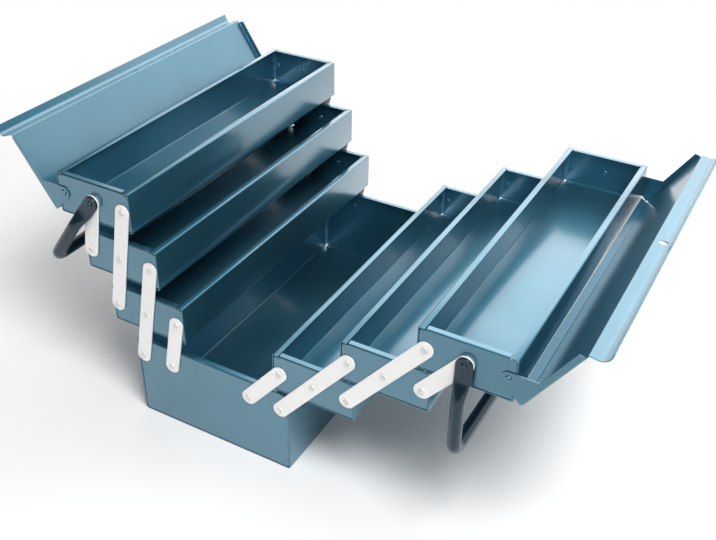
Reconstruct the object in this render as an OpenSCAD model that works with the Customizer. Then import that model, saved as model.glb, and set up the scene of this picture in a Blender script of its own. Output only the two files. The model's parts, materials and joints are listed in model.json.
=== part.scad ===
// Cantilever tool box: a sheet-steel base, three trays a side on parallel links,
// a folded lid over each side and a bent tube handle on each top tray.
// X runs across the box, Y along it with the front end at -Y, and Z up.
// The origin is the centre of the underside of the base.

/* [Base] */
// Length of the base and of every tray, over the end plates
box_l = 432; // [300:1:600]
// Width of the base over its long walls
base_w = 210; // [190:1:260]
// Height of the base to the top of its rim
base_h = 110; // [80:1:180]
// Inner radius of the long bends at the foot of the base
base_bend_r = 2.5; // [0.5:0.1:5]

/* [Trays] */
// Distance of a shut tray's outer wall inside the wall of the base
tray_inset = 1.2; // [0.6:0.1:3]
// Height of a tray to the top of its rim
tray_h = 49; // [40:0.5:50]
// Gap between the rim of the base and the tray above it, shut
base_gap = 3.5; // [1:0.1:10]
// Half the gap between the left and right trays, shut
centre_gap = 2.8; // [1:0.1:6]

/* [Sheet metal] */
// Thickness of every folded sheet
sheet_t = 1; // [0.6:0.1:1.5]
// Inner radius of the sharp bends
bend_r = 1; // [0.4:0.1:2]
// Width of the rim turned in along the long walls
rim_w = 7.25; // [5:0.25:9]
// Width of the rim turned in along the end plates
end_rim_w = 7; // [5:0.25:9]
// Width of the flanges that join an end plate to its pan
weld_flange_w = 6; // [4:0.5:9]
// Gap at each end of a flange, so that the folds clear each other
relief = 1.5; // [0.5:0.1:3]

/* [Linkage] */
// Height from one tray to the next, both shut and fully open
tray_rise = 50.8; // [50.5:0.1:60]
// Distance of the outer pivots from the base's wall, and of the inner from a tray's
pivot_in = 9.3; // [9:0.1:11]
// Height of the pivots above the underside of their tray
pivot_z = 25.8; // [20:0.1:30]
// Width of a link
link_w = 18; // [12:0.5:22]
// Thickness of a link
link_t = 2; // [1:0.1:2.5]
// Gap between an end plate and the link on it
link_gap = 0.3; // [0.2:0.1:0.6]
// Slope of the left links from level, on the outward side
left_slope = 101.3; // [60:0.1:129]

/* [Rivets] */
// Diameter of a rivet's shank
rivet_d = 5; // [3:0.1:6]
// Radial clearance of a rivet in a part that turns on it
rivet_clear = 0.08; // [0.02:0.01:0.1]
// Diameter of a rivet's head
rivet_head_d = 7.4; // [6.5:0.1:9]
// Height of a rivet's head
rivet_head_h = 1.3; // [0.8:0.1:1.6]
// Gap under a rivet's head, so that what it holds can turn
head_gap = 0.1; // [0.05:0.05:0.3]
// Diameter of the tail set inside the tray
rivet_tail_d = 6.6; // [6:0.1:9]
// Height of the tail
rivet_tail_h = 1.6; // [0.8:0.1:2.5]

/* [Lids] */
// Distance of the lid's pivot in from its outer corner, along the panel
lid_pivot_u = 13; // [11:0.1:15]
// Distance of the lid's pivot below the outside of its panel
lid_pivot_h = 28.2; // [26:0.1:32]
// Angle that a lid swings from shut to its stop
lid_swing = 123; // [100:1:125]
// Distance of the lip's foot in from the tray's inner wall, shut
lip_inset = 12.9; // [10:0.1:16]
// Depth of the end flaps below the outside of the panel
lid_flap_h = 7.4; // [5:0.1:9]
// Distance along the panel at which the ear runs into the end flap
ear_u = 35.2; // [30:0.1:45]
// Radius of the ear round the lid's pivot
ear_r = 7.9; // [6:0.1:9]
// Gap between an end plate and the lid's ear on it
ear_gap = 0.3; // [0.2:0.1:0.6]
// Gap between the lid's skirt and the tray's wall at the stop
lid_stop_gap = 0.4; // [0.3:0.1:1]
// Radius of the padlock hole in each lip
lock_hole_r = 4; // [2:0.5:4.5]
// Height of the padlock hole above the panel
lock_hole_h = 7; // [6:0.5:8]

/* [Handles] */
// Diameter of the handle's tube
tube_d = 14; // [10:0.5:15]
// Distance from the handle's pivot to the centre line of its bar
handle_reach = 104.7; // [95:0.5:110]
// Radius of the handle's bends, at the centre line
handle_bend_r = 15; // [12:0.5:25]
// Width of the flattened end
lug_w = 18; // [14:0.5:20]
// Thickness of the flattened end
lug_t = 3.6; // [2:0.1:5]
// Length from the pivot over which the end stays flat
lug_l = 12; // [9:0.5:16]
// Distance from the pivot at which the tube is round again
round_from = 40; // [32:0.5:50]
// Gap between a link and the handle's end on it
lug_gap = 0.3; // [0.2:0.1:0.6]
// Gap between the tube and the rivets that it swings past
tube_gap = 1; // [0.5:0.1:3]
// Direction of the left handle from level, on the outward side
left_handle_slope = -54; // [-70:1:0]

/* [Hidden] */
$fn = 64;
SIDES = ["left", "right"];
ENDS = ["front", "rear"];
LEVELS = ["lower", "middle", "upper"];
LINKS = ["base_short_link", "base_long_link", "upper_long_link", "top_short_link"];

// Folds
fold_r = bend_r + sheet_t;
base_fold_r = base_bend_r + sheet_t;
flange_strip = 0.5;

// Linkage, worked out for the right side; the left side is its mirror image
tray_w = base_w / 2 - centre_gap - tray_inset;
pivot_pitch = (base_w / 2 - centre_gap) / 2 - pivot_in;
link_l = sqrt(pivot_pitch ^ 2 + tray_rise ^ 2);
open_slope = atan2(tray_rise, pivot_pitch);
slopes = [left_slope, open_slope];
base_pivot_x = centre_gap + pivot_in + pivot_pitch;
base_pivot_z = base_h + base_gap + pivot_z - tray_rise;
PIVOTS = [0, 1, 2];
tray_middle_x = tray_w / 2 - pivot_in;
// Which level and which of its pivots each link starts from; level -1 is the base
link_from = [[-1, 0], [-1, 1], [0, 2], [1, 2]];
link_spans = [1, 2, 2, 1];

// What each rivet has to reach past, outward from the end plate
link_reach = link_gap + link_t + head_gap;
ear_reach = ear_gap + sheet_t + head_gap;
lug_y = link_gap + link_t + lug_gap;
lug_reach = lug_y + lug_t + head_gap;
upper_reaches = [link_reach, lug_reach, ear_reach];

// Lid: u runs along the panel from its outer corner to the lip, n into the lid
lid_half_l = box_l / 2 + ear_gap + sheet_t;
lid_slope = 180 - lid_swing;
wall_out = pivot_in - tray_inset;
lid_panel_u = tray_w + lid_pivot_u - wall_out - lip_inset;
skirt_h = lid_pivot_h - (wall_out + lid_stop_gap + lid_pivot_u * cos(lid_slope)) / sin(lid_slope);
flap_end_u = lid_panel_u - fold_r;
// Lip of each lid, the left one lapping over the right: it rises straight and curls over
left_lip_l = 12;
left_curl_r = 5;
left_tip_l = 7.4;
right_lip_l = 7;
right_curl_r = 10;
right_tip_l = 4.2;
left_lip = [78, left_lip_l, 86, left_curl_r, left_tip_l];
right_lip = [66, right_lip_l, 84, right_curl_r, right_tip_l];
arc_steps = 12;
lock_cut_l = 12;

// Handle
tube_y = link_reach + rivet_head_h + tube_gap + tube_d / 2;
right_handle_slope = -90;
handle_slopes = [left_handle_slope, right_handle_slope];

base_names = ["base_pan", "base_front_end", "base_rear_end", "base_rivets"];
TRAY_PIECES = ["pan", "front_end", "rear_end", "rivets"];
tray_names = [for (s = SIDES) for (l = LEVELS) for (p = TRAY_PIECES) str(s, "_", l, "_tray_", p)];
link_names = [for (s = SIDES) for (l = LINKS) for (e = ENDS) str(s, "_", l, "_", e)];
top_names = [for (s = SIDES) for (p = ["lid", "handle"]) str(s, "_", p)];

// Where the inner pivot of a tray is, on the right side, for links at a slope
function step(slope) = link_l * [cos(slope), sin(slope)];
function base_pivot(i) = [base_pivot_x + i * pivot_pitch, base_pivot_z];
function inner_pivot(level, slope) =
    base_pivot(0) + (level + 1) * step(slope) + level * [pivot_pitch, 0];
function tray_pivot(level, i, slope) =
    level < 0 ? base_pivot(i) : inner_pivot(level, slope) + [i * pivot_pitch, 0];

// Angle at which a line from p touches a circle, on the side that turn names
function touch_angle(p, centre, r, turn) =
    let (v = p - centre) atan2(v[1], v[0]) + turn * acos(r / norm(v));

// Points of an arc, from one angle to another
function arc_points(centre, r, from, to) =
    [for (i = [0:arc_steps])
        let (a = from + (to - from) * i / arc_steps) centre + r * [cos(a), sin(a)]];

function reversed(points) = [for (i = [len(points) - 1:-1:0]) points[i]];

// One side of a lid's lip, a depth below the lid's outside. A lip holds its rise's
// angle, its straight, its curl's angle and radius, and the last straight
function lip_side(lip, depth) =
    let (
        normal = [sin(lip[0]), cos(lip[0])],
        rise = [cos(lip[0]), -sin(lip[0])],
        foot = [lid_panel_u, -bend_r],
        crown = foot + bend_r * normal + lip[1] * rise + (lip[3] + sheet_t) * normal,
        curl = arc_points(crown, lip[3] + sheet_t - depth, 270 - lip[0], 270 - lip[0] + lip[2]),
        tip = lip[4] * [cos(lip[2] - lip[0]), sin(lip[2] - lip[0])]
    )
    concat(
        arc_points(foot, bend_r + depth, 90, 90 - lip[0]),
        curl,
        [curl[arc_steps] + tip]
    );

// Strip of sheet folded along a path: each step is a straight and the inner radius
// of the square bend after it, none for the last. The path turns left at each bend,
// and the sheet lies on its left.
module folded(steps, i = 0) {
    l = steps[i][0];
    r = steps[i][1];
    if (l > 0) square([l, sheet_t]);
    if (i < len(steps) - 1)
        translate([l, 0]) {
            square_bend(r);
            translate((r + sheet_t) * [1, 1]) rotate(90) folded(steps, i + 1);
        }
}

// Quarter turn to the left in a strip of sheet
module square_bend(r) {
    outer_r = r + sheet_t;
    translate([0, outer_r])
        intersection() {
            difference() {
                circle(outer_r);
                circle(r);
            }
            translate([0, -outer_r]) square(outer_r);
        }
}

// Stretches a section drawn in X and Z along the box
module along_box(l) {
    rotate([90, 0, 0]) linear_extrude(l, center = true) children();
}

// Cuts or lays a flat outline, drawn in X and Z, from a plane of Y outward to -Y
module end_layer(y, t) {
    translate([0, y, 0]) rotate([90, 0, 0]) linear_extrude(t) children();
}

module on_side(side) {
    mirror([side == 0 ? 1 : 0, 0, 0]) children();
}

module at_end(end) {
    mirror([0, end, 0]) children();
}

// Open pan folded from one sheet: floor, two long walls and their rims
module pan(w, h, foot_r) {
    foot = foot_r + sheet_t;
    rim = rim_w - fold_r;
    wall = h - fold_r - foot;
    along_box(box_l)
        translate([rim_w - w / 2, h]) rotate(180)
            folded([[rim, bend_r], [wall, foot_r], [w - 2 * foot, foot_r], [wall, bend_r], [rim]]);
}

// Flange folded inward from the top edge of an end plate's web, with a strip of the web
module flange(l, depth) {
    translate([0, 0, -flange_strip]) rotate([0, -90, 0]) linear_extrude(l, center = true)
        folded([[flange_strip, bend_r], [depth - fold_r]]);
}

// End plate that sits inside a pan: a web with a rim and three weld flanges
module end_plate(w, h, foot_r, pivots) {
    half = w / 2 - sheet_t;
    web_x = half - fold_r;
    web_low = sheet_t + fold_r;
    web_high = h - fold_r;
    corner = foot_r + relief;
    side_low = sheet_t + corner;
    side_high = h - sheet_t - bend_r - relief;
    translate([0, -box_l / 2, 0]) {
        end_layer(sheet_t, sheet_t)
            difference() {
                translate([-web_x, web_low]) square([2 * web_x, web_high - web_low]);
                for (p = pivots)
                    translate(p) circle(d = rivet_d);
            }
        translate([0, 0, web_high]) flange(w - 2 * (rim_w + relief), end_rim_w);
        translate([0, 0, web_low]) mirror([0, 0, 1]) flange(2 * (half - corner), weld_flange_w);
        for (turn = [-1, 1])
            translate([turn * web_x, 0, (side_low + side_high) / 2])
                rotate([0, turn * 90, 0]) flange(side_high - side_low, weld_flange_w);
    }
}

// Round head of a rivet, standing on the plane Z = 0
module button(d, h) {
    r = (d ^ 2 / 4 + h ^ 2) / (2 * h);
    rotate_extrude()
        intersection() {
            translate([0, h - r]) circle(r);
            square([d / 2, h]);
        }
}

// Rivet through an end plate at the front, with its head a reach outside the plate
module rivet(p, reach) {
    translate([p[0], -box_l / 2, p[1]]) rotate([90, 0, 0]) {
        translate([0, 0, -sheet_t]) cylinder(d = rivet_d, h = sheet_t + reach);
        translate([0, 0, reach]) button(rivet_head_d, rivet_head_h);
        translate([0, 0, -sheet_t]) mirror([0, 0, 1]) button(rivet_tail_d, rivet_tail_h);
    }
}

// Flat link with round ends and a hole at each of its pivots
module link(spans) {
    end_layer(-box_l / 2 - link_gap, link_t)
        difference() {
            union() {
                circle(d = link_w);
                translate([0, -link_w / 2]) square([spans * link_l, link_w]);
                translate([spans * link_l, 0]) circle(d = link_w);
            }
            for (i = [0:spans])
                translate([i * link_l, 0]) circle(rivet_d / 2 + rivet_clear);
        }
}

module base_pan() {
    color("steelblue") pan(base_w, base_h, base_bend_r);
}

module base_end(end) {
    pivots = [for (s = [-1, 1]) for (i = [0, 1]) [s * base_pivot(i)[0], base_pivot_z]];
    color("lightsteelblue") at_end(end) end_plate(base_w, base_h, base_bend_r, pivots);
}

module base_rivets() {
    color("silver")
        for (side = [0, 1]) for (end = [0, 1]) for (i = [0, 1])
            on_side(side) at_end(end) rivet(base_pivot(i), link_reach);
}

// Puts a tray's own frame, centred over its underside, at its level
module at_level(side, level) {
    p = inner_pivot(level, slopes[side]);
    on_side(side) translate([p[0] + tray_middle_x, 0, p[1] - pivot_z]) children();
}

module tray_pan(side, level) {
    color("cadetblue") at_level(side, level) pan(tray_w, tray_h, bend_r);
}

module tray_end(side, level, end) {
    pivots = [for (i = PIVOTS) [i * pivot_pitch - tray_middle_x, pivot_z]];
    color("lightsteelblue") at_level(side, level) at_end(end)
        end_plate(tray_w, tray_h, bend_r, pivots);
}

module tray_rivets(side, level) {
    color("silver")
        for (end = [0, 1]) for (i = PIVOTS)
            on_side(side) at_end(end)
                rivet(tray_pivot(level, i, slopes[side]), level == 2 ? upper_reaches[i] : link_reach);
}

module placed_link(side, kind, end) {
    p = tray_pivot(link_from[kind][0], link_from[kind][1], slopes[side]);
    color("gainsboro")
        on_side(side) at_end(end)
            translate([p[0], 0, p[1]]) rotate([0, -slopes[side], 0]) link(link_spans[kind]);
}

// Lid in its own frame: X along the panel, Z into the lid
module lid_shell(lip) {
    difference() {
        along_box(2 * (lid_half_l - fold_r)) {
            translate([fold_r, 0]) square([lid_panel_u - fold_r, sheet_t]);
            polygon(concat(lip_side(lip, 0), reversed(lip_side(lip, sheet_t))));
        }
        translate([lid_panel_u - fold_r, 0, -lock_hole_h]) rotate([0, 90, 0])
            cylinder(r = lock_hole_r, h = lock_cut_l);
    }
    along_box(2 * (lid_half_l - fold_r - relief))
        translate([0, skirt_h]) rotate(-90) folded([[skirt_h - fold_r, bend_r], [0]]);
    for (end = [0, 1])
        at_end(end) lid_flap();
}

// Flap over the tray's end, with the ear that turns on the tray's outer rivet
module lid_flap() {
    pivot = [lid_pivot_u, lid_pivot_h];
    outer = [0, fold_r];
    inner = [ear_u, lid_flap_h];
    translate([flap_end_u, fold_r - lid_half_l, 0]) rotate([90, 0, -90])
        linear_extrude(flap_end_u - fold_r) folded([[0, bend_r], [0]]);
    end_layer(sheet_t - lid_half_l, sheet_t)
        difference() {
            polygon(concat(
                [outer, [flap_end_u, fold_r], [flap_end_u - relief, lid_flap_h], inner],
                arc_points(
                    pivot,
                    ear_r,
                    touch_angle(inner, pivot, ear_r, 1),
                    touch_angle(outer, pivot, ear_r, -1) + 360
                )
            ));
            translate(pivot) circle(rivet_d / 2 + rivet_clear);
        }
}

module lid(side) {
    p = tray_pivot(2, 2, slopes[side]);
    color("lightblue")
        on_side(side) translate([p[0], 0, p[1]]) rotate([0, -lid_slope, 0])
            translate([-lid_pivot_u, 0, -lid_pivot_h]) lid_shell(side == 0 ? left_lip : right_lip);
}

// One leg of a handle with its flattened end, its bend and half the bar
module handle_half() {
    leg_y = -box_l / 2 - tube_y;
    leg_end = handle_reach - handle_bend_r;
    flat_y = -box_l / 2 - lug_y;
    difference() {
        union() {
            end_layer(flat_y, lug_t) {
                circle(d = lug_w);
                translate([0, -lug_w / 2]) square([lug_l, lug_w]);
            }
            hull() {
                translate([lug_l, flat_y - lug_t / 2, 0])
                    cube([0.01, lug_t, lug_w], center = true);
                translate([round_from, leg_y, 0]) rotate([0, 90, 0])
                    cylinder(d = tube_d, h = 0.01, $fn = 32);
            }
        }
        translate([0, flat_y + lug_t, 0]) rotate([90, 0, 0])
            cylinder(r = rivet_d / 2 + rivet_clear, h = 3 * lug_t);
    }
    translate([round_from, leg_y, 0]) rotate([0, 90, 0])
        cylinder(d = tube_d, h = leg_end - round_from);
    translate([leg_end, leg_y + handle_bend_r, 0]) rotate([0, 0, -90])
        rotate_extrude(angle = 90) translate([handle_bend_r, 0]) circle(d = tube_d);
    translate([handle_reach, leg_y + handle_bend_r, 0]) rotate([-90, 0, 0])
        cylinder(d = tube_d, h = -leg_y - handle_bend_r);
}

module handle(side) {
    p = tray_pivot(2, 1, slopes[side]);
    color("midnightblue")
        on_side(side) translate([p[0], 0, p[1]]) rotate([0, -handle_slopes[side], 0])
            for (end = [0, 1])
                at_end(end) handle_half();
}

base_pan();
base_end(0);  // base_front_end
base_end(1);  // base_rear_end
base_rivets();
for (s = [0, 1]) for (l = [0:2]) {
    name = str(SIDES[s], "_", LEVELS[l], "_tray_");
    tray_pan(s, l);
    tray_end(s, l, 0);
    tray_end(s, l, 1);
    tray_rivets(s, l);
}
for (s = [0, 1]) for (k = [0:3]) for (e = [0, 1])
    placed_link(s, k, e);
for (s = [0, 1]) {
    lid(s);
    handle(s);
}
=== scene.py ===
"""Looks of a cantilever tool box: enamelled sheet-steel pans that swing out on plated links.

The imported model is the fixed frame. End plates and lids keep their CAD solids under a stoved
enamel. Pans, links, rivets and handles are modelled here, on the same pivots, in metres.
"""

import json
import logging
import math
from dataclasses import dataclass, field, replace
from enum import Enum

import bmesh
import bpy
from mathutils import Matrix, Vector

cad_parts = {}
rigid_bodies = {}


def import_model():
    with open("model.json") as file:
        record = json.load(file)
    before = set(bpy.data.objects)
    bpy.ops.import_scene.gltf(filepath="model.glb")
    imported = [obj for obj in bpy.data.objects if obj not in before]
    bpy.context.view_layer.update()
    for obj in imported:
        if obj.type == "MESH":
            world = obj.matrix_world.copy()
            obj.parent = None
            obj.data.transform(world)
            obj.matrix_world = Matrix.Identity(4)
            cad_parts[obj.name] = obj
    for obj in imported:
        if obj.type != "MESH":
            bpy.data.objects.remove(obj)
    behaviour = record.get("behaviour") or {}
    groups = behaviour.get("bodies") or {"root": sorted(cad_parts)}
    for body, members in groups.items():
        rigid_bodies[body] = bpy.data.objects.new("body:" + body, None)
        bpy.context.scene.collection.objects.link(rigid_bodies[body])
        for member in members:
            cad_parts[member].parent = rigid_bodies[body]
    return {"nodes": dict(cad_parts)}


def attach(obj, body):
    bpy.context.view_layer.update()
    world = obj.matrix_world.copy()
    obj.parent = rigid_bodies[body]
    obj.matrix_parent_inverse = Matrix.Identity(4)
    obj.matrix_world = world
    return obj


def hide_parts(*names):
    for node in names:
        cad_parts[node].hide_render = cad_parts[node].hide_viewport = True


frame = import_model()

LOG = logging.getLogger("tool_box")

Point = tuple[float, float, float]
Colour = tuple[float, float, float]
Pair = tuple[float, float]

# Values between which most of a noise pattern lies, and where a blend of colours starts and ends
PATTERN_RANGE = (0.3, 0.7)
BLEND_RANGE = (0.32, 0.68)


class Named(Enum):
    """Choice whose name, in small letters, is a word of the frame's names."""

    @property
    def word(self) -> str:
        """The choice as a word."""
        return self.name.lower()


class Side(Named):
    """Group of trays, with the sign of the direction that it opens in."""

    LEFT = -1
    RIGHT = 1


class End(Named):
    """End of the box, with the sign of its outward direction along Y."""

    FRONT = -1
    REAR = 1


class Level(Named):
    """Level of a tray, counted up from the base."""

    BASE = -1
    LOWER = 0
    MIDDLE = 1
    UPPER = 2


TRAYS = (Level.LOWER, Level.MIDDLE, Level.UPPER)


class Slot(Enum):
    """Material slot of the record that a piece takes its finish from."""

    BLUE_ENAMEL = "blue_enamel"
    HANDLE_ENAMEL = "handle_enamel"
    PLATED_STEEL = "plated_steel"
    RIVET_STEEL = "rivet_steel"


# Pieces


def add_object(name: str, data: bpy.types.ID) -> bpy.types.Object:
    """Makes an object of a mesh, lamp or camera and adds it to the scene.

    Args:
        name: Name of the object.
        data: What it shows.

    Returns:
        The object.
    """
    made = bpy.data.objects.new(name, data)
    bpy.context.scene.collection.objects.link(made)
    return made


def to_piece(
    name: str, shape: bmesh.types.BMesh, finish: bpy.types.Material
) -> bpy.types.Object:
    """Turns a finished shape into a piece of one material.

    Args:
        name: Name of the piece.
        shape: Closed shape in place, which is freed.
        finish: Material of the piece.

    Returns:
        The piece, with its faces outward.
    """
    bmesh.ops.recalc_face_normals(shape, faces=shape.faces[:])
    mesh = bpy.data.meshes.new(name)
    shape.to_mesh(mesh)
    shape.free()
    mesh.materials.append(finish)
    return add_object(name, mesh)


def sharpen(piece: bpy.types.Object, degrees: float) -> None:
    """Shades a piece smooth but for its sharp edges.

    Args:
        piece: The piece.
        degrees: Least angle between two faces at a sharp edge.
    """
    mesh = piece.data
    mesh.shade_smooth()
    mesh.set_sharp_from_angle(angle=math.radians(degrees))


def break_edges(piece: bpy.types.Object, width: float, degrees: float) -> None:
    """Rounds a piece's sharp edges a little, as on deburred sheet.

    Args:
        piece: The piece.
        width: Width of the rounding.
        degrees: Least angle between two faces at an edge that is rounded.
    """
    broken = piece.modifiers.new("broken_edges", "BEVEL")
    broken.width = width
    broken.segments = 2
    broken.limit_method = "ANGLE"
    broken.angle_limit = math.radians(degrees)


# Nodes and finishes


def shader_tree(name: str) -> tuple[bpy.types.Material, bpy.types.ShaderNode]:
    """Makes an empty node material around one Principled shader.

    Args:
        name: Name of the material.

    Returns:
        The material and its shader node.
    """
    material = bpy.data.materials.new(name)
    material.use_nodes = True
    shader = next(n for n in material.node_tree.nodes if n.type == "BSDF_PRINCIPLED")
    return material, shader


def noise(tree: bpy.types.NodeTree, size: float, detail: float) -> bpy.types.NodeSocket:
    """Adds a noise pattern on object coordinates.

    Args:
        tree: Tree of the material.
        size: Size of one patch of the pattern, in metres.
        detail: Number of finer layers.

    Returns:
        The pattern's value, from 0 to 1.
    """
    place = tree.nodes.new("ShaderNodeTexCoord")
    pattern = tree.nodes.new("ShaderNodeTexNoise")
    pattern.inputs["Scale"].default_value = 1 / size
    pattern.inputs["Detail"].default_value = detail
    tree.links.new(place.outputs["Object"], pattern.inputs["Vector"])
    return pattern.outputs["Fac"]


def remap(
    tree: bpy.types.NodeTree,
    value: bpy.types.NodeSocket,
    source: Pair,
    target: Pair,
    smooth: bool = False,
) -> bpy.types.NodeSocket:
    """Maps one range of values to another.

    Args:
        tree: Tree of the material or the world.
        value: The value.
        source: Ends of the range that it comes from.
        target: Ends of the range that it goes to.
        smooth: Whether both ends are eased.

    Returns:
        The mapped value.
    """
    mapped = tree.nodes.new("ShaderNodeMapRange")
    if smooth:
        mapped.interpolation_type = "SMOOTHSTEP"
    for name, number in zip(("From Min", "From Max", "To Min", "To Max"), (*source, *target)):
        mapped.inputs[name].default_value = number
    tree.links.new(value, mapped.inputs["Value"])
    return mapped.outputs["Result"]


def blend_colours(
    tree: bpy.types.NodeTree, value: bpy.types.NodeSocket, dark: Colour, light: Colour
) -> bpy.types.NodeSocket:
    """Mixes two colours by a pattern.

    Args:
        tree: Tree of the material.
        value: The pattern's value.
        dark: Linear colour at the pattern's low end.
        light: Linear colour at the pattern's high end.

    Returns:
        The mixed colour.
    """
    ramp = tree.nodes.new("ShaderNodeValToRGB")
    for element, position, colour in zip(ramp.color_ramp.elements, BLEND_RANGE, (dark, light)):
        element.position = position
        element.color = (*colour, 1.0)
    tree.links.new(value, ramp.inputs["Fac"])
    return ramp.outputs["Color"]


def relief(
    tree: bpy.types.NodeTree,
    shader: bpy.types.ShaderNode,
    layers: list[tuple[bpy.types.NodeSocket, float, float]],
) -> None:
    """Chains bumps into the shader's normal.

    Args:
        tree: Tree of the material.
        shader: Shader that the relief goes to.
        layers: Height, strength and depth in metres of each layer.
    """
    normal = None
    for height, strength, depth in layers:
        bump = tree.nodes.new("ShaderNodeBump")
        bump.inputs["Strength"].default_value = strength
        bump.inputs["Distance"].default_value = depth
        tree.links.new(height, bump.inputs["Height"])
        if normal is not None:
            tree.links.new(normal, bump.inputs["Normal"])
        normal = bump.outputs["Normal"]
    tree.links.new(normal, shader.inputs["Normal"])


@dataclass(frozen=True)
class Enamel:
    """Stoved metallic enamel on steel, with the fine orange peel of a sprayed coat."""

    name: str
    dark: Colour
    light: Colour
    rough: Pair = (0.38, 0.46)
    metal: float = 0.88
    drift: float = 0.09
    wave: float = 0.014
    wave_depth: float = 0.00007
    peel: float = 0.0016
    peel_depth: float = 0.00003
    relief_strength: float = 0.5
    coat: float = 1.0
    coat_rough: float = 0.15
    coat_ior: float = 1.75

    def build(self) -> bpy.types.Material:
        """Makes the enamel's material.

        Returns:
            The material.
        """
        material, shader = shader_tree(self.name)
        tree = material.node_tree
        drift = noise(tree, self.drift, 3.0)
        peel = noise(tree, self.peel, 0.5)
        wave = noise(tree, self.wave, 0.0)
        colour = blend_colours(tree, drift, self.dark, self.light)
        rough = remap(tree, peel, PATTERN_RANGE, self.rough)
        tree.links.new(colour, shader.inputs["Base Color"])
        tree.links.new(rough, shader.inputs["Roughness"])
        layers = ((wave, self.wave_depth), (peel, self.peel_depth))
        relief(tree, shader, [(height, self.relief_strength, depth) for height, depth in layers])
        for name, value in (
            ("Metallic", self.metal),
            ("Coat Weight", self.coat),
            ("Coat Roughness", self.coat_rough),
            ("Coat IOR", self.coat_ior),
        ):
            shader.inputs[name].default_value = value
        return material


@dataclass(frozen=True)
class PlatedSteel:
    """Nickel or zinc plate on stamped steel: pale and satin, with a faint drawn grain."""

    name: str
    dark: Colour
    light: Colour
    rough: Pair = (0.42, 0.55)
    metal: float = 0.35
    cloud: float = 0.006
    grain: float = 0.0009
    grain_depth: float = 0.00002
    relief_strength: float = 0.3

    def build(self) -> bpy.types.Material:
        """Makes the plating's material.

        Returns:
            The material.
        """
        material, shader = shader_tree(self.name)
        tree = material.node_tree
        cloud = noise(tree, self.cloud, 4.0)
        grain = noise(tree, self.grain, 2.0)
        colour = blend_colours(tree, cloud, self.dark, self.light)
        rough = remap(tree, grain, PATTERN_RANGE, self.rough)
        tree.links.new(colour, shader.inputs["Base Color"])
        tree.links.new(rough, shader.inputs["Roughness"])
        relief(tree, shader, [(grain, self.relief_strength, self.grain_depth)])
        shader.inputs["Metallic"].default_value = self.metal
        return material


@dataclass
class Palette:
    """Finishes of the box, one material each."""

    blue: bpy.types.Material = field(init=False)
    navy: bpy.types.Material = field(init=False)
    plate: bpy.types.Material = field(init=False)
    rivet: bpy.types.Material = field(init=False)

    def __post_init__(self) -> None:
        """Builds every finish."""
        self.blue = Enamel(
            "blue_enamel_coat", (0.046, 0.18, 0.26), (0.056, 0.205, 0.295)
        ).build()
        self.navy = Enamel(
            "handle_enamel_coat", (0.008, 0.030, 0.050), (0.011, 0.038, 0.062), coat=0.45
        ).build()
        self.plate = PlatedSteel(
            "link_plating", (0.94, 0.935, 0.925), (0.97, 0.965, 0.955)
        ).build()
        self.rivet = PlatedSteel(
            "rivet_plating", (0.70, 0.68, 0.64), (0.82, 0.80, 0.77), (0.26, 0.4)
        ).build()

    def of_slot(self, slot: Slot) -> bpy.types.Material:
        """Material of a slot of the record."""
        return {
            Slot.BLUE_ENAMEL: self.blue,
            Slot.HANDLE_ENAMEL: self.navy,
            Slot.PLATED_STEEL: self.plate,
            Slot.RIVET_STEEL: self.rivet,
        }[slot]


# Studio


@dataclass(frozen=True)
class Softbox:
    """Rectangular lamp: its place, the point that it faces, its width and height, its watts."""

    name: str
    place: Point
    target: Point
    size: Pair
    watts: float

    def hang(self) -> None:
        """Adds the lamp to the scene."""
        data = bpy.data.lights.new(self.name, "AREA")
        data.shape = "RECTANGLE"
        data.size, data.size_y = self.size
        data.energy = self.watts
        aim = Vector(self.target) - Vector(self.place)
        turn = aim.to_track_quat("-Z", "Y").to_matrix().to_4x4()
        add_object(self.name, data).matrix_world = Matrix.Translation(self.place) @ turn


def seen_rays(tree: bpy.types.NodeTree) -> bpy.types.NodeSocket:
    """Adds a value that is 1 for what is seen straight, in a reflection or through glass.

    Args:
        tree: Tree of a material.

    Returns:
        The value.
    """
    ray = tree.nodes.new("ShaderNodeLightPath")
    value = ray.outputs["Is Camera Ray"]
    for kind in ("Is Glossy Ray", "Is Transmission Ray"):
        either = tree.nodes.new("ShaderNodeMath")
        either.operation = "MAXIMUM"
        tree.links.new(value, either.inputs[0])
        tree.links.new(ray.outputs[kind], either.inputs[1])
        value = either.outputs[0]
    return value


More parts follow.
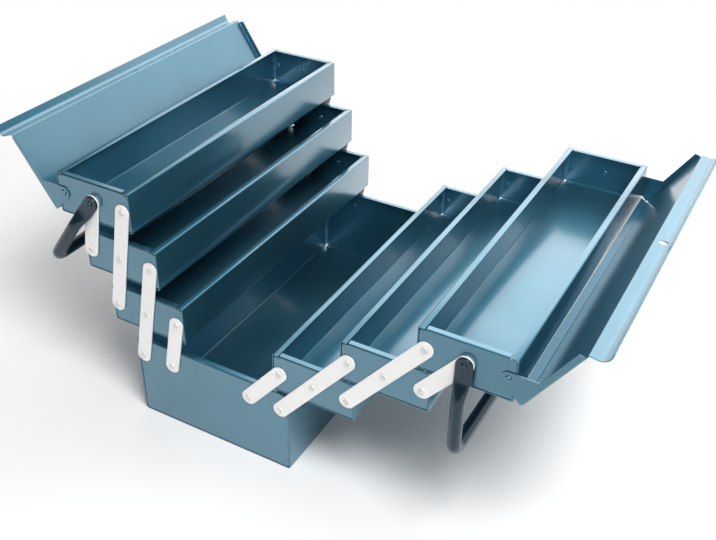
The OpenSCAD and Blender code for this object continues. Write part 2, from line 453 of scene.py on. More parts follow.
@dataclass
class Studio:
    """Pale floor, large soft lamps and a camera at the photograph's angle."""

    camera_place: Point = (0.5409, -0.8618, 0.8033)
    camera_tilt: float = -0.976
    camera_roll: float = -0.018
    camera_turn: float = -0.499
    lens_mm: float = 47.69
    sensor_mm: float = 36.0
    floor_half: float = 12.0
    floor_drop: float = 0.0002
    glow_top: float = 0.16
    glow_soft: float = 0.06
    sky_low: float = 1.0
    sky_high: float = 0.05
    floor_white: float = 0.86
    near_lift: float = 0.04
    pool: Pair = (0.55, 1.1)
    to_front: Point = (0.499, -0.866, 0.0)
    # Painted shade: the floor's colour greys toward the camera over this span, standing in for a
    # dark room in front
    front_edge: Pair = (0.36, 0.56)
    front_grey: float = 0.6
    lamps: tuple[Softbox, ...] = (
        Softbox("key_softbox", (0.95, -0.75, 1.85), (0.1, 0.0, 0.1), (0.8, 0.8), 47.0),
        Softbox("back_softbox", (0.0, 2.3, 1.85), (0.0, 0.0, 0.9), (5.2, 3.0), 80.0),
        Softbox("window_softbox", (-0.15, 2.1, 1.95), (-0.15, 0.0, 1.0), (2.0, 1.5), 10.0),
        Softbox("top_softbox", (0.0, 0.75, 2.3), (0.0, 0.0, 0.2), (2.6, 1.4), 12.0),
    )

    def build(self) -> None:
        """Makes the camera, the world, the floor and the lamps."""
        self.make_camera()
        self.make_world()
        self.make_floor()
        for lamp in self.lamps:
            lamp.hang()
        bpy.context.scene.view_settings.view_transform = "Standard"

    def make_camera(self) -> None:
        """Places the camera where sixty points of the photograph put it."""
        tilt = Matrix.Rotation(self.camera_tilt, 3, "X")
        turn = Matrix.Rotation(self.camera_turn, 3, "Z")
        roll = Matrix.Rotation(self.camera_roll, 3, "Z")
        to_camera = roll @ tilt @ turn
        data = bpy.data.cameras.new("photo_camera")
        data.lens = self.lens_mm
        data.sensor_width = self.sensor_mm
        data.clip_start = 0.01
        data.clip_end = 100.0
        camera = add_object("photo_camera", data)
        place = Matrix.Translation(self.camera_place)
        camera.matrix_world = place @ to_camera.transposed().to_4x4()
        bpy.context.scene.camera = camera

    def make_world(self) -> None:
        """Stands a white sweep low all round, under a dim ceiling."""
        world = bpy.data.worlds.new("studio_world")
        world.use_nodes = True
        tree = world.node_tree
        tree.nodes.clear()
        place = tree.nodes.new("ShaderNodeTexCoord")
        split = tree.nodes.new("ShaderNodeSeparateXYZ")
        sky = tree.nodes.new("ShaderNodeBackground")
        out = tree.nodes.new("ShaderNodeOutputWorld")
        edge = (self.glow_top - self.glow_soft, self.glow_top + self.glow_soft)
        fade = remap(tree, split.outputs["Z"], edge, (self.sky_low, self.sky_high), smooth=True)
        tree.links.new(place.outputs["Generated"], split.inputs[0])
        tree.links.new(fade, sky.inputs["Strength"])
        sky.inputs["Color"].default_value = (1.0, 1.0, 1.0, 1.0)
        tree.links.new(sky.outputs["Background"], out.inputs["Surface"])
        bpy.context.scene.world = world

    def floor_finish(self) -> bpy.types.Material:
        """Makes a matt finish that keeps the box's shadow and turns white further out.

        Toward the camera, from about the picture's lower edge on, its colour darkens to grey. This
        is painted shade that stands for a dark room in front, and it darkens the floor seen in the
        end plates.

        Returns:
            The material.
        """
        material = bpy.data.materials.new("pale_floor")
        material.use_nodes = True
        tree = material.node_tree
        tree.nodes.clear()
        place = tree.nodes.new("ShaderNodeTexCoord").outputs["Object"]
        far = tree.nodes.new("ShaderNodeVectorMath")
        far.operation = "LENGTH"
        along = tree.nodes.new("ShaderNodeVectorMath")
        along.operation = "DOT_PRODUCT"
        along.inputs[1].default_value = self.to_front
        tree.links.new(place, far.inputs[0])
        tree.links.new(place, along.inputs[0])
        lift = remap(tree, far.outputs["Value"], self.pool, (self.near_lift, 1.0), smooth=True)
        # Painted shade: the floor's colour greys toward the camera, in place of a dark room in
        # front
        painted_shade_range = (self.floor_white, self.front_grey)
        painted_shade_colour = remap(tree, along.outputs["Value"], self.front_edge, painted_shade_range, smooth=True)
        seen = tree.nodes.new("ShaderNodeMath")
        seen.operation = "MULTIPLY"
        white = tree.nodes.new("ShaderNodeEmission")
        pale = tree.nodes.new("ShaderNodeBsdfDiffuse")
        both = tree.nodes.new("ShaderNodeMixShader")
        out = tree.nodes.new("ShaderNodeOutputMaterial")
        tree.links.new(seen_rays(tree), seen.inputs[0])
        tree.links.new(lift, seen.inputs[1])
        tree.links.new(painted_shade_colour, pale.inputs["Color"])
        tree.links.new(seen.outputs[0], both.inputs["Fac"])
        tree.links.new(pale.outputs["BSDF"], both.inputs[1])
        tree.links.new(white.outputs["Emission"], both.inputs[2])
        tree.links.new(both.outputs["Shader"], out.inputs["Surface"])
        return material

    def make_floor(self) -> None:
        """Lays a wide floor just under the box."""
        h = self.floor_half
        z = -self.floor_drop
        mesh = bpy.data.meshes.new("floor")
        mesh.from_pydata([(-h, -h, z), (h, -h, z), (h, h, z), (-h, h, z)], [], [(0, 1, 2, 3)])
        mesh.materials.append(self.floor_finish())
        add_object("floor", mesh)


# Linkage


@dataclass(frozen=True)
class Linkage:
    """Where every pivot lies at rest, in metres: three trays a side on parallel links."""

    pitch: float = 0.0418
    rise: float = 0.0508
    base_pivot_x: float = 0.0539
    base_pivot_z: float = 0.0885
    half_length: float = 0.216
    sheet: float = 0.001
    left_slope: float = math.radians(101.3)

    def slope(self, side: Side) -> float:
        """Slope of a side's links from level, on the outward side."""
        return self.left_slope if side is Side.LEFT else math.atan2(self.rise, self.pitch)

    def link_length(self) -> float:
        """Distance between neighbouring pivots of a link."""
        return math.hypot(self.pitch, self.rise)

    def pivot(self, side: Side, level: Level, index: int) -> tuple[float, float]:
        """Finds a pivot.

        Args:
            side: Group of trays.
            level: Tray that carries the pivot, or the base.
            index: Count outward from the tray's inner pivot.

        Returns:
            Its X and Z.
        """
        steps = level.value + 1
        reach = self.link_length()
        slope = self.slope(side)
        pitches = index + max(level.value, 0)
        x = self.base_pivot_x + pitches * self.pitch + steps * reach * math.cos(slope)
        z = self.base_pivot_z + steps * reach * math.sin(slope)
        return side.value * x, z

    def at_end(self, end: End, out: float) -> float:
        """Y of a plane a distance outside an end plate."""
        return end.value * (self.half_length + out)


# Geometry Nodes


class NodeBuilder:
    """Short hand for making a Geometry Nodes tree with named inputs."""

    def __init__(self, name: str) -> None:
        """Starts a tree that takes and gives geometry.

        Args:
            name: Name of the tree.
        """
        self.tree = bpy.data.node_groups.new(name, "GeometryNodeTree")
        face = self.tree.interface
        face.new_socket("Geometry", in_out="INPUT", socket_type="NodeSocketGeometry")
        face.new_socket("Geometry", in_out="OUTPUT", socket_type="NodeSocketGeometry")
        self.ids: dict[str, str] = {}
        self.entry = self.tree.nodes.new("NodeGroupInput")
        self.exit = self.tree.nodes.new("NodeGroupOutput")

    def size(self, name: str, value: float = 0.0) -> None:
        """Adds a named length to the tree's inputs.

        Args:
            name: Name of the input.
            value: Length where a piece sets none.
        """
        socket = self.tree.interface.new_socket(name, in_out="INPUT", socket_type="NodeSocketFloat")
        socket.subtype = "DISTANCE"
        socket.default_value = value
        self.ids[name] = socket.identifier

    def material(self, name: str) -> None:
        """Adds a named material to the tree's inputs."""
        socket = self.tree.interface.new_socket(
            name, in_out="INPUT", socket_type="NodeSocketMaterial"
        )
        self.ids[name] = socket.identifier

    def given(self, name: str) -> bpy.types.NodeSocket:
        """Output of the group's entry that carries a named input."""
        return self.entry.outputs[name]

    def add(self, kind: str, **settings: object) -> bpy.types.Node:
        """Adds a node.

        Args:
            kind: Type of the node.
            settings: The node's own options.

        Returns:
            The node.
        """
        node = self.tree.nodes.new(kind)
        for key, value in settings.items():
            setattr(node, key, value)
        return node

    def join(self, source: bpy.types.NodeSocket, target: bpy.types.NodeSocket) -> None:
        """Links two sockets."""
        self.tree.links.new(source, target)

    def feed(self, values: tuple[object, ...], sockets: object) -> None:
        """Gives each input in turn its value.

        Args:
            values: Sockets or numbers.
            sockets: Inputs of a node, from the first that gets a value.
        """
        for value, socket in zip(values, sockets):
            if isinstance(value, bpy.types.NodeSocket):
                self.join(value, socket)
            else:
                socket.default_value = value

    def math(self, operation: str, *values: object) -> bpy.types.NodeSocket:
        """Adds a calculation with one or two values.

        Args:
            operation: Name of the calculation.
            values: Sockets or numbers.

        Returns:
            The result.
        """
        node = self.add("ShaderNodeMath", operation=operation)
        self.feed(values, node.inputs)
        return node.outputs[0]

    def vector(self, *values: object) -> bpy.types.NodeSocket:
        """Puts three values together.

        Args:
            values: X, Y and Z, sockets or numbers.

        Returns:
            The vector.
        """
        node = self.add("ShaderNodeCombineXYZ")
        self.feed(values, node.inputs)
        return node.outputs[0]


def settle(
    name: str,
    start: bpy.types.Mesh,
    builder: NodeBuilder,
    values: dict[str, object],
) -> bpy.types.Object:
    """Runs a tree on a mesh and keeps its result as a plain mesh.

    Args:
        name: Name of the piece.
        start: Mesh that the tree starts from.
        builder: Tree and its input identifiers.
        values: Value of each named input.

    Returns:
        The finished object, with no modifier.
    """
    source = add_object(f"{name}_source", start)
    modifier = source.modifiers.new("build", "NODES")
    modifier.node_group = builder.tree
    for key, value in values.items():
        modifier[builder.ids[key]] = value
    graph = bpy.context.evaluated_depsgraph_get()
    mesh = bpy.data.meshes.new_from_object(source.evaluated_get(graph))
    mesh.name = name
    source.modifiers.clear()
    bpy.data.objects.remove(source)
    return add_object(name, mesh)


def point_mesh(
    name: str, points: list[Point], values: dict[str, list[float]], vectors: dict[str, list[Point]]
) -> bpy.types.Mesh:
    """Makes a mesh of loose points that carry named values.

    Args:
        name: Name of the mesh.
        points: The points.
        values: Number of each point, by attribute.
        vectors: Vector of each point, by attribute.

    Returns:
        The mesh.
    """
    mesh = bpy.data.meshes.new(name)
    mesh.from_pydata(points, [], [])
    for key, row in values.items():
        mesh.attributes.new(key, "FLOAT", "POINT").data.foreach_set("value", row)
    for key, rows in vectors.items():
        flat = [c for v in rows for c in v]
        mesh.attributes.new(key, "FLOAT_VECTOR", "POINT").data.foreach_set("vector", flat)
    return mesh


@dataclass(frozen=True)
class PanSize:
    """Outside sizes of a folded pan, in metres."""

    width: float
    height: float
    foot_r: float


@dataclass
class PanWork:
    """Folds open pans from one sheet each: floor, long walls and rims turned inward."""

    rim: float = 0.00725
    top_r: float = 0.002
    edge: float = 0.00018
    broken_from_deg: float = 50.0
    sharp_from_deg: float = 40.0
    bend_steps: int = 8
    builder: NodeBuilder = field(init=False)

    def __post_init__(self) -> None:
        """Builds the tree once."""
        self.builder = self.make_tree()

    def of_corner(
        self, b: NodeBuilder, kind: str, values: tuple[object, ...]
    ) -> bpy.types.NodeSocket:
        """Adds a value or vector that depends on the corner of the profile.

        Args:
            b: Tree.
            kind: "FLOAT" or "VECTOR".
            values: Socket or number of each corner.

        Returns:
            The corner's value.
        """
        switch = b.add("GeometryNodeIndexSwitch", data_type=kind)
        while len(switch.index_switch_items) < len(values):
            switch.index_switch_items.new()
        index = b.add("GeometryNodeInputIndex")
        b.join(index.outputs[0], switch.inputs["Index"])
        b.feed(values, switch.inputs[1:])
        return switch.outputs[0]

    def make_tree(self) -> NodeBuilder:
        """Makes the tree: a profile with rounded corners, drawn out along Y.

        Returns:
            The tree, whose every input is set by each pan.
        """
        b = NodeBuilder("folded_pan")
        for name in ("Width", "Height", "Rim", "Foot Radius", "Top Radius", "Length"):
            b.size(name)
        b.size("Middle X")
        b.size("Underside")
        b.material("Finish")
        half = b.math("MULTIPLY", b.given("Width"), 0.5)
        inner = b.math("SUBTRACT", half, b.given("Rim"))
        left = b.math("SUBTRACT", b.given("Middle X"), half)
        right = b.math("ADD", b.given("Middle X"), half)
        tip_left = b.math("SUBTRACT", b.given("Middle X"), inner)
        tip_right = b.math("ADD", b.given("Middle X"), inner)
        low = b.given("Underside")
        high = b.math("ADD", low, b.given("Height"))
        front = b.math("MULTIPLY", b.given("Length"), -0.5)
        corners = (
            (tip_left, high),
            (left, high),
            (left, low),
            (right, low),
            (right, high),
            (tip_right, high),
        )
        line = b.add("GeometryNodeMeshLine")
        line.inputs["Count"].default_value = len(corners)
        placed = b.add("GeometryNodeSetPosition")
        b.join(line.outputs[0], placed.inputs["Geometry"])
        at = self.of_corner(b, "VECTOR", tuple(b.vector(x, front, z) for x, z in corners))
        b.join(at, placed.inputs["Position"])
        top, foot = b.given("Top Radius"), b.given("Foot Radius")
        radius = self.of_corner(b, "FLOAT", (0.0, top, foot, foot, top, 0.0))
        drawn = b.add("GeometryNodeMeshToCurve")
        rounded = b.add("GeometryNodeFilletCurve", mode="POLY")
        rounded.inputs["Count"].default_value = self.bend_steps
        profile = b.add("GeometryNodeCurveToMesh")
        b.join(placed.outputs[0], drawn.inputs["Mesh"])
        b.join(drawn.outputs[0], rounded.inputs["Curve"])
        b.join(radius, rounded.inputs["Radius"])
        b.join(rounded.outputs[0], profile.inputs["Curve"])
        sheet = b.add("GeometryNodeExtrudeMesh", mode="EDGES")
        b.join(profile.outputs[0], sheet.inputs["Mesh"])
        b.join(b.vector(0.0, b.given("Length"), 0.0), sheet.inputs["Offset"])
        finish = b.add("GeometryNodeSetMaterial")
        b.join(sheet.outputs["Mesh"], finish.inputs["Geometry"])
        b.join(b.given("Finish"), finish.inputs["Material"])
        b.join(finish.outputs[0], b.exit.inputs[0])
        return b

    def fold(
        self,
        name: str,
        size: PanSize,
        middle_x: float,
        underside: float,
        linkage: Linkage,
        finish: bpy.types.Material,
    ) -> bpy.types.Object:
        """Makes a pan in place.

        Args:
            name: Name of the piece.
            size: Outside sizes.
            middle_x: X of its middle.
            underside: Z of its underside.
            linkage: Length of the box and thickness of its sheet.
            finish: Material of the pan.

        Returns:
            The pan, with its sheet's thickness and broken edges as modifiers.
        """
        piece = settle(
            name,
            bpy.data.meshes.new(f"{name}_start"),
            self.builder,
            {
                "Width": size.width,
                "Height": size.height,
                "Rim": self.rim,
                "Foot Radius": size.foot_r,
                "Top Radius": self.top_r,
                "Length": 2 * linkage.half_length,
                "Middle X": middle_x,
                "Underside": underside,
                "Finish": finish,
            },
        )
        thick = piece.modifiers.new("sheet", "SOLIDIFY")
        thick.thickness = linkage.sheet
        thick.offset = -1.0
        thick.use_even_offset = True
        break_edges(piece, self.edge, self.broken_from_deg)
        sharpen(piece, self.sharp_from_deg)
        return piece


@dataclass(frozen=True)
class Rivet:
    """One rivet: where it goes through the sheet, its outward side and its reach."""

    x: float
    z: float
    end: End
    reach: float


@dataclass
class RivetWork:
    """Sets rolled rivets: a low head with a dimple, a shank, and a tail inside the pan."""

    head_r: float = 0.0037
    head_h: float = 0.0013
    tail_r: float = 0.0033
    tail_h: float = 0.0016
    shank_r: float = 0.0025
    segments: int = 28
    rings: int = 15
    sharp_from_deg: float = 35.0
    weld: float = 0.00001
    # The profile runs from the dimple's middle over the rolled ring, down the side and back along
    # the flat underside, and has no curve past this share of its length
    curved_to: float = 0.7
    # Share of the radius, and then of the height, at each share of the profile's length
    radii: tuple[Pair, ...] = (
        (0.0, 0.0),
        (0.14, 0.24),
        (0.28, 0.46),
        (0.43, 0.66),
        (0.57, 0.86),
        (0.71, 1.0),
        (0.85, 1.0),
        (1.0, 0.0),
    )
    heights: tuple[Pair, ...] = (
        (0.0, 0.5),
        (0.14, 0.52),
        (0.28, 0.86),
        (0.43, 1.0),
        (0.57, 0.9),
        (0.71, 0.45),
        (0.85, 0.0),
        (1.0, 0.0),
    )
    builder: NodeBuilder = field(init=False)

    def __post_init__(self) -> None:
        """Builds the tree once."""
        self.builder = self.make_tree()

    def curve_of(
        self, b: NodeBuilder, value: bpy.types.NodeSocket, points: tuple[Pair, ...]
    ) -> bpy.types.NodeSocket:
        """Adds a curve through points to the tree.

        Args:
            b: Tree.
            value: Share of the profile.
            points: Points of the curve.

        Returns:
            The curve's value.
        """
        node = b.add("ShaderNodeFloatCurve")
        line = node.mapping.curves[0]
        line.points[0].location = points[0]
        line.points[1].location = points[-1]
        for p in points[1:-1]:
            line.points.new(*p)
        for p in line.points:
            p.handle_type = "VECTOR" if p.location[0] > self.curved_to else "AUTO"
        node.mapping.update()
        b.join(value, node.inputs["Value"])
        return node.outputs["Value"]

    def revolved(
        self, b: NodeBuilder, radius: bpy.types.NodeSocket, height: bpy.types.NodeSocket
    ) -> bpy.types.NodeSocket:
        """Turns the rolled profile about Z.

        Args:
            b: Tree.
            radius: Outer radius.
            height: Height over the seat.

        Returns:
            A closed mesh that stands on Z = 0.
        """
        grid = b.add("GeometryNodeMeshGrid")
        grid.inputs["Size X"].default_value = 1.0
        grid.inputs["Size Y"].default_value = 1.0
        grid.inputs["Vertices X"].default_value = self.rings
        grid.inputs["Vertices Y"].default_value = self.segments + 1
        place = b.add("GeometryNodeInputPosition")
        split = b.add("ShaderNodeSeparateXYZ")
        b.join(place.outputs[0], split.inputs[0])
        share = b.math("ADD", split.outputs["X"], 0.5)
        turn = b.math("MULTIPLY", split.outputs["Y"], math.tau)
        r = b.math("MULTIPLY", self.curve_of(b, share, self.radii), radius)
        z = b.math("MULTIPLY", self.curve_of(b, share, self.heights), height)
        at = b.vector(
            b.math("MULTIPLY", r, b.math("COSINE", turn)),
            b.math("MULTIPLY", r, b.math("SINE", turn)),
            z,
        )
        moved = b.add("GeometryNodeSetPosition")
        b.join(grid.outputs["Mesh"], moved.inputs["Geometry"])
        b.join(at, moved.inputs["Position"])
        closed = b.add("GeometryNodeMergeByDistance")
        closed.inputs["Distance"].default_value = self.weld
        b.join(moved.outputs[0], closed.inputs["Geometry"])
        return closed.outputs[0]

    def make_tree(self) -> NodeBuilder:
        """Makes the tree that sets a rivet on each point.

        Returns:
            The tree, whose finishes and sheet are set by each piece.
        """
        b = NodeBuilder("rolled_rivets")
        for name, value in (
            ("Head Radius", self.head_r),
            ("Head Height", self.head_h),
            ("Tail Radius", self.tail_r),
            ("Tail Height", self.tail_h),
            ("Shank Radius", self.shank_r),
            ("Sheet", 0.0),
        ):
            b.size(name, value)
        b.material("Finish")
        b.material("Tail Finish")
        axis = b.add("GeometryNodeInputNamedAttribute", data_type="FLOAT_VECTOR")
        axis.inputs["Name"].default_value = "axis"
        reach = b.add("GeometryNodeInputNamedAttribute", data_type="FLOAT")
        reach.inputs["Name"].default_value = "reach"
        outward = b.add("FunctionNodeAlignRotationToVector", axis="Z")
        b.join(axis.outputs["Attribute"], outward.inputs["Vector"])
        back = b.add("ShaderNodeVectorMath", operation="SCALE")
        back.inputs["Scale"].default_value = -1.0
        b.join(axis.outputs["Attribute"], back.inputs[0])
        inward = b.add("FunctionNodeAlignRotationToVector", axis="Z")
        b.join(back.outputs["Vector"], inward.inputs["Vector"])

        gathered = b.add("GeometryNodeJoinGeometry")
        head = self.revolved(b, b.given("Head Radius"), b.given("Head Height"))
        tail = self.revolved(b, b.given("Tail Radius"), b.given("Tail Height"))
        span = b.math("ADD", reach.outputs["Attribute"], b.given("Sheet"))
        shank = b.add("GeometryNodeMeshCylinder")
        shank.inputs["Vertices"].default_value = self.segments
        shank.inputs["Depth"].default_value = 1.0
        b.join(b.given("Shank Radius"), shank.inputs["Radius"])
        middle = b.math("SUBTRACT", reach.outputs["Attribute"], b.given("Sheet"))
        for mesh, finish, shift, turn, scale in (
            (head, "Finish", reach.outputs["Attribute"], outward, None),
            (tail, "Tail Finish", b.math("MULTIPLY", b.given("Sheet"), -1.0), inward, None),
            (
                shank.outputs["Mesh"],
                "Finish",
                b.math("MULTIPLY", middle, 0.5),
                outward,
                b.vector(1.0, 1.0, span),
            ),
        ):
            coated = b.add("GeometryNodeSetMaterial")
            b.join(mesh, coated.inputs["Geometry"])
            b.join(b.given(finish), coated.inputs["Material"])
            offset = b.add("ShaderNodeVectorMath", operation="SCALE")
            b.join(axis.outputs["Attribute"], offset.inputs[0])
            b.join(shift, offset.inputs["Scale"])
            moved = b.add("GeometryNodeSetPosition")
            b.join(b.given("Geometry"), moved.inputs["Geometry"])
            b.join(offset.outputs["Vector"], moved.inputs["Offset"])
            copies = b.add("GeometryNodeInstanceOnPoints")
            b.join(moved.outputs[0], copies.inputs["Points"])
            b.join(coated.outputs[0], copies.inputs["Instance"])
            b.join(turn.outputs["Rotation"], copies.inputs["Rotation"])
            if scale is not None:
                b.join(scale, copies.inputs["Scale"])
            b.join(copies.outputs[0], gathered.inputs[0])
        real = b.add("GeometryNodeRealizeInstances")
        smooth = b.add("GeometryNodeSetShadeSmooth")
        b.join(gathered.outputs[0], real.inputs[0])
        b.join(real.outputs[0], smooth.inputs["Geometry"])
        b.join(smooth.outputs[0], b.exit.inputs[0])
        return b

    def set(
        self,
        name: str,
        rivets: list[Rivet],
        linkage: Linkage,
        finish: bpy.types.Material,
        tail_finish: bpy.types.Material,
    ) -> bpy.types.Object:
        """Makes one piece of several rivets.

        Args:
            name: Name of the piece.
            rivets: Rivets of the piece.
            linkage: Where the end plates are.
            finish: Material of heads and shanks.
            tail_finish: Material of the tails inside the pan.

        Returns:
            The piece.
        """
        points = point_mesh(
            f"{name}_points",
            [(r.x, linkage.at_end(r.end, 0.0), r.z) for r in rivets],
            {"reach": [r.reach for r in rivets]},
            {"axis": [(0.0, float(r.end.value), 0.0) for r in rivets]},
        )
        piece = settle(
            name,
            points,
            self.builder,
            {"Finish": finish, "Tail Finish": tail_finish, "Sheet": linkage.sheet},
        )
        sharpen(piece, self.sharp_from_deg)
        return piece


@dataclass
class LinkWork:
    """Stamps flat links with round ends: a hole at each pivot and softly broken edges."""

    width: float = 0.018
    thickness: float = 0.002
    gap: float = 0.0003
    hole_r: float = 0.00258
    edge: float = 0.0004
    broken_from_deg: float = 50.0
    sharp_from_deg: float = 40.0
    end_points: int = 20
    hole_points: int = 24

    def blank(self, spans: int, length: float) -> bmesh.types.BMesh:
        """Makes a link along +X from its first pivot, with its inner face on Y = 0.

        Args:
            spans: Number of pivots after the first.
            length: Distance between neighbouring pivots.

        Returns:
            The closed mesh.
        """
        r = self.width / 2
        mesh = bmesh.new()
        rim = []
        for middle, turned in ((0.0, -1), (spans * length, 1)):
            for i in range(self.end_points + 1):
                a = math.pi * i / self.end_points
                x = middle + turned * r * math.sin(a)
                rim.append(mesh.verts.new((x, 0.0, -turned * r * math.cos(a))))
        loops = [rim]
        for pivot in range(spans + 1):
            hole = []
            for i in range(self.hole_points):
                a = math.tau * i / self.hole_points
                x = pivot * length + self.hole_r * math.cos(a)
                hole.append(mesh.verts.new((x, 0.0, self.hole_r * math.sin(a))))
            loops.append(hole)
        edges = []
        for loop in loops:
            for a, b in zip(loop, loop[1:] + loop[:1]):
                edges.append(mesh.edges.new((a, b)))
        bmesh.ops.triangle_fill(mesh, edges=edges, use_beauty=True)
        bmesh.ops.recalc_face_normals(mesh, faces=mesh.faces[:])
        raised = bmesh.ops.extrude_face_region(mesh, geom=mesh.faces[:])
        moved = [g for g in raised["geom"] if isinstance(g, bmesh.types.BMVert)]
        bmesh.ops.translate(mesh, verts=moved, vec=(0.0, -self.thickness, 0.0))
        bmesh.ops.recalc_face_normals(mesh, faces=mesh.faces[:])
        return mesh

    def stamp(
        self,
        name: str,
        start: Pair,
        spans: int,
        side: Side,
        end: End,
        linkage: Linkage,
        finish: bpy.types.Material,
    ) -> bpy.types.Object:
        """Makes a link in place.

        Args:
            name: Name of the piece.
            start: X and Z of its first pivot.
            spans: Number of pivots after the first.
            side: Group of trays.
            end: End of the box.
            linkage: Slope and lengths.
            finish: Material of the link.

        Returns:
            The piece.
        """
        shape = self.blank(spans, linkage.link_length())
        turn = Matrix.Rotation(-linkage.slope(side), 4, "Y")
        mirror = Matrix.Diagonal((side.value, -end.value, 1.0, 1.0))
        place = Matrix.Translation((start[0], linkage.at_end(end, self.gap), start[1]))
        bmesh.ops.transform(shape, matrix=place @ mirror @ turn, verts=shape.verts)
        piece = to_piece(name, shape, finish)
        break_edges(piece, self.edge, self.broken_from_deg)
        sharpen(piece, self.sharp_from_deg)
        return piece


@dataclass(frozen=True)
class Ring:
    """Section of a handle: centre, direction, half width, half thickness and squareness.

    A squareness of 2 is round, and a larger one is nearer to a rectangle.
    """

    centre: Vector
    along: Vector
    half: float
    thick: float
    square: float

    def mirrored(self) -> "Ring":
        """The same section on the other leg."""
        flip = Matrix.Diagonal((1.0, -1.0, 1.0))
        return replace(self, centre=flip @ self.centre, along=-(flip @ self.along))


@dataclass
class HandleWork:
    """Bends a tube to a handle, with both ends pressed flat to a lug on the rivet."""

    tube_d: float = 0.014
    reach: float = 0.1047
    bend_r: float = 0.015
    lug_w: float = 0.018
    lug_t: float = 0.0036
    lug_l: float = 0.012
    round_from: float = 0.040
    lug_y: float = 0.0026
    tube_y: float = 0.0117
    points: int = 40
    tip_rings: int = 9
    press_rings: int = 14
    bend_rings: int = 12
    sharp_from_deg: float = 60.0
    lug_square: float = 5.0
    tube_square: float = 2.0
    # Thickness of the lug's tip as a share of the lug's, and how fast it grows to the whole
    tip_share: float = 0.55
    tip_growth: float = 0.72
    # How much sooner the lug turns round than it turns thick
    rounding: float = 1.5

    def leg(self, half_length: float) -> list[Ring]:
        """Lists the rings of one leg, from the lug's tip to the bar's middle.

        Args:
            half_length: Half the length of the box.

        Returns:
            The rings, with the handle along +X and the leg at -Y.
        """
        rings = []
        flat_y = -(half_length + self.lug_y + self.lug_t / 2)
        round_y = -(half_length + self.tube_y)
        r = self.lug_w / 2
        flat = self.lug_t / 2
        tube = self.tube_d / 2
        along = Vector((1.0, 0.0, 0.0))
        for i in range(1, self.tip_rings + 1):
            a = math.pi / 2 * i / self.tip_rings
            thick = flat * min(1.0, self.tip_share + self.tip_growth * math.sin(a))
            centre = Vector((-r * math.cos(a), flat_y, 0.0))
            rings.append(Ring(centre, along, r * math.sin(a), thick, self.lug_square))
        for i in range(self.press_rings + 1):
            t = i / self.press_rings
            s = t * t * (3 - 2 * t)
            x = self.lug_l + (self.round_from - self.lug_l) * t
            centre = Vector((x, flat_y + (round_y - flat_y) * s, 0.0))
            rounded = min(1.0, self.rounding * s)
            square = self.lug_square + (self.tube_square - self.lug_square) * rounded
            rings.append(Ring(centre, along, r + (tube - r) * s, flat + (tube - flat) * s, square))
        corner = Vector((self.reach - self.bend_r, round_y + self.bend_r, 0.0))
        for i in range(self.bend_rings + 1):
            a = math.pi / 2 * i / self.bend_rings
            centre = corner + self.bend_r * Vector((math.sin(a), -math.cos(a), 0.0))
            turned = Vector((math.cos(a), math.sin(a), 0.0))
            rings.append(Ring(centre, turned, tube, tube, self.tube_square))
        middle = Vector((self.reach, 0.0, 0.0))
        rings.append(Ring(middle, Vector((0.0, 1.0, 0.0)), tube, tube, self.tube_square))
        return rings

    def ring(self, mesh: bmesh.types.BMesh, spec: Ring) -> list[bmesh.types.BMVert]:
        """Adds the vertices of one ring.

        Args:
            mesh: Mesh that gets them.
            spec: The ring.

        Returns:
            The ring's vertices in order.
        """
        across = Vector((0.0, 0.0, 1.0))
        out = spec.along.cross(across)
        power = 2 / spec.square
        verts = []
        for i in range(self.points):
            a = math.tau * i / self.points
            c, s = math.cos(a), math.sin(a)
            u = math.copysign(abs(c) ** power, c) * spec.half
            v = math.copysign(abs(s) ** power, s) * spec.thick
            verts.append(mesh.verts.new(spec.centre + across * u + out * v))
        return verts

    def bend(
        self,
        name: str,
        pivot: Pair,
        slope: float,
        side: Side,
        linkage: Linkage,
        finish: bpy.types.Material,
    ) -> bpy.types.Object:
        """Makes a handle in place.

        Args:
            name: Name of the piece.
            pivot: X and Z of its rivets.
            slope: Direction from level, on the outward side, in radians.
            side: Group of trays.
            linkage: Length of the box.
            finish: Material of the handle.

        Returns:
            The piece.
        """
        leg = self.leg(linkage.half_length)
        back = [spec.mirrored() for spec in reversed(leg[:-1])]
        shape = bmesh.new()
        rings = [self.ring(shape, spec) for spec in leg + back]
        for a, b in zip(rings, rings[1:]):
            for i in range(self.points):
                j = (i + 1) % self.points
                shape.faces.new((a[i], a[j], b[j], b[i]))
        shape.faces.new(rings[0])
        shape.faces.new(rings[-1])
        turn = Matrix.Rotation(-slope, 4, "Y")
        mirror = Matrix.Diagonal((side.value, 1.0, 1.0, 1.0))
        place = Matrix.Translation((pivot[0], 0.0, pivot[1]))
        bmesh.ops.transform(shape, matrix=place @ mirror @ turn, verts=shape.verts)
        piece = to_piece(name, shape, finish)
        sharpen(piece, self.sharp_from_deg)
        return piece


# The box


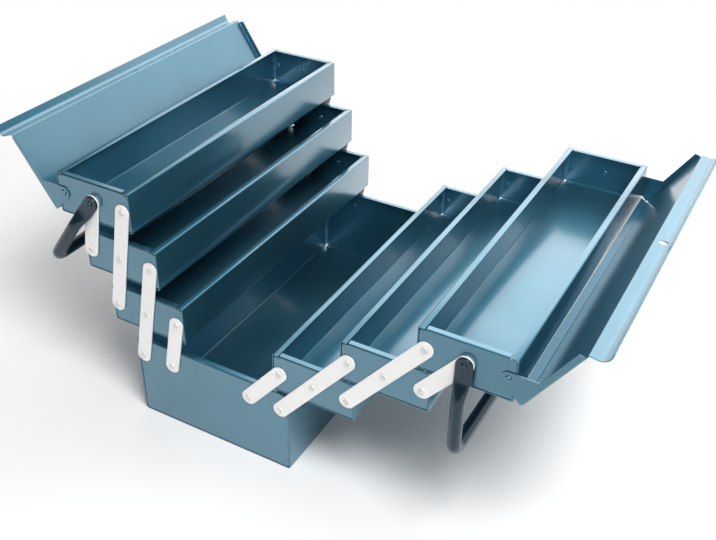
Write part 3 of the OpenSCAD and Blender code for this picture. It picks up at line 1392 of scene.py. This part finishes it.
@dataclass
class ToolBox:
    """The whole box: which body each piece rides on and which solid it stands for."""

    palette: Palette
    linkage: Linkage = field(default_factory=Linkage)
    links: LinkWork = field(default_factory=LinkWork)
    pans: PanWork = field(default_factory=PanWork)
    rivets: RivetWork = field(default_factory=RivetWork)
    handles: HandleWork = field(default_factory=HandleWork)
    base_size: PanSize = PanSize(0.210, 0.110, 0.0035)
    tray_size: PanSize = PanSize(0.101, 0.049, 0.002)
    tray_middle: float = 0.0412
    tray_pivot_z: float = 0.0258
    left_handle_slope: float = math.radians(-54)
    right_handle_slope: float = math.radians(-90)
    head_gap: float = 0.0001
    ear_gap: float = 0.0003
    lug_gap: float = 0.0003

    def reach_past_link(self) -> float:
        """How far a rivet's head seats outside the plate, over a link."""
        return self.links.gap + self.links.thickness + self.head_gap

    def reach_past_lug(self) -> float:
        """How far a rivet's head seats outside the plate, over a link and a handle's lug."""
        over_link = self.links.gap + self.links.thickness
        return over_link + self.lug_gap + self.handles.lug_t + self.head_gap

    def reach_past_ear(self) -> float:
        """How far a rivet's head seats outside the plate, over a lid's ear."""
        return self.ear_gap + self.linkage.sheet + self.head_gap

    def keep(self, piece: bpy.types.Object, body: str, slot: Slot, *nodes: str) -> None:
        """Puts a finished piece on its body and hides the solids that it stands for.

        Args:
            piece: The piece.
            body: Body that it rides on.
            slot: Slot that its finish comes from. Not used.
            nodes: Solids that it stands for.
        """
        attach(piece, body)
        if nodes:
            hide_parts(*nodes)
        LOG.info("%s rides on %s, %d faces", piece.name, body, len(piece.data.polygons))

    def paint_sheet(self) -> None:
        """Gives every solid of the frame the finish of its slot."""
        for name, node in frame["nodes"].items():
            slot = Slot(node.data.materials[0].name.split(".")[0])
            node.material_slots[0].material = self.palette.of_slot(slot)
            LOG.info("%s is finished as %s", name, slot.value)

    def fold_pans(self) -> None:
        """Makes the pans of the base and of the six trays, each on its own solid's place."""
        piece = self.pans.fold(
            "base_folded_pan", self.base_size, 0.0, 0.0, self.linkage, self.palette.blue
        )
        self.keep(piece, "base", Slot.BLUE_ENAMEL, "base_pan")
        for side in Side:
            for level in TRAYS:
                body = f"{side.word}_{level.word}_tray"
                x, z = self.linkage.pivot(side, level, 0)
                middle = x + side.value * self.tray_middle
                piece = self.pans.fold(
                    f"{body}_folded_pan",
                    self.tray_size,
                    middle,
                    z - self.tray_pivot_z,
                    self.linkage,
                    self.palette.blue,
                )
                self.keep(piece, body, Slot.BLUE_ENAMEL, f"{body}_pan")

    def hang_links(self) -> None:
        """Makes the sixteen links, each on its own solid's place."""
        kinds = (
            ("base_short_link", Level.BASE, 0, 1),
            ("base_long_link", Level.BASE, 1, 2),
            ("upper_long_link", Level.LOWER, 2, 2),
            ("top_short_link", Level.MIDDLE, 2, 1),
        )
        for side in Side:
            for kind, level, index, spans in kinds:
                for end in End:
                    node = f"{side.word}_{kind}_{end.word}"
                    start = self.linkage.pivot(side, level, index)
                    piece = self.links.stamp(
                        f"{node}_plated", start, spans, side, end, self.linkage, self.palette.plate
                    )
                    self.keep(piece, f"{side.word}_{kind}s", Slot.PLATED_STEEL, node)

    def set_rivets(self) -> None:
        """Makes the rivets of the base and of each tray."""
        over_link = self.reach_past_link()
        base = [
            Rivet(*self.linkage.pivot(side, Level.BASE, i), end, over_link)
            for side in Side
            for end in End
            for i in (0, 1)
        ]
        piece = self.rivets.set(
            "base_rolled_rivets", base, self.linkage, self.palette.rivet, self.palette.blue
        )
        self.keep(piece, "base", Slot.RIVET_STEEL, "base_rivets")
        for side in Side:
            for level in TRAYS:
                self.set_tray_rivets(side, level)

    def set_tray_rivets(self, side: Side, level: Level) -> None:
        """Makes the rivets of one tray: plated over links, painted over an ear or a lug.

        Args:
            side: Group of trays.
            level: Level of the tray.
        """
        body = f"{side.word}_{level.word}_tray"
        over_link = self.reach_past_link()
        kinds = [("rolled_rivets", (0, 1, 2), over_link, Slot.RIVET_STEEL)]
        if level is Level.UPPER:
            kinds = [
                ("rolled_rivets", (0,), over_link, Slot.RIVET_STEEL),
                ("lug_rivets", (1,), self.reach_past_lug(), Slot.HANDLE_ENAMEL),
                ("ear_rivets", (2,), self.reach_past_ear(), Slot.BLUE_ENAMEL),
            ]
        for word, chosen, reach, slot in kinds:
            rivets = [
                Rivet(*self.linkage.pivot(side, level, i), end, reach)
                for end in End
                for i in chosen
            ]
            finish = self.palette.of_slot(slot)
            piece = self.rivets.set(
                f"{body}_{word}", rivets, self.linkage, finish, self.palette.blue
            )
            self.keep(piece, body, slot, f"{body}_rivets")

    def fit_handles(self) -> None:
        """Makes both handles."""
        for side, slope in (
            (Side.LEFT, self.left_handle_slope),
            (Side.RIGHT, self.right_handle_slope),
        ):
            node = f"{side.word}_handle"
            pivot = self.linkage.pivot(side, Level.UPPER, 1)
            piece = self.handles.bend(
                f"{node}_tube", pivot, slope, side, self.linkage, self.palette.navy
            )
            self.keep(piece, node, Slot.HANDLE_ENAMEL, node)

    def build(self) -> None:
        """Builds the box in order, from the sheet out to what is riveted on it."""
        self.paint_sheet()
        self.fold_pans()
        self.hang_links()
        self.set_rivets()
        self.fit_handles()


def main() -> None:
    """Builds the studio and the box in order."""
    logging.basicConfig(level=logging.INFO, format="%(name)s: %(message)s")
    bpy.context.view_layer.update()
    Studio().build()
    ToolBox(Palette()).build()


if __name__ == "__main__":
    main()
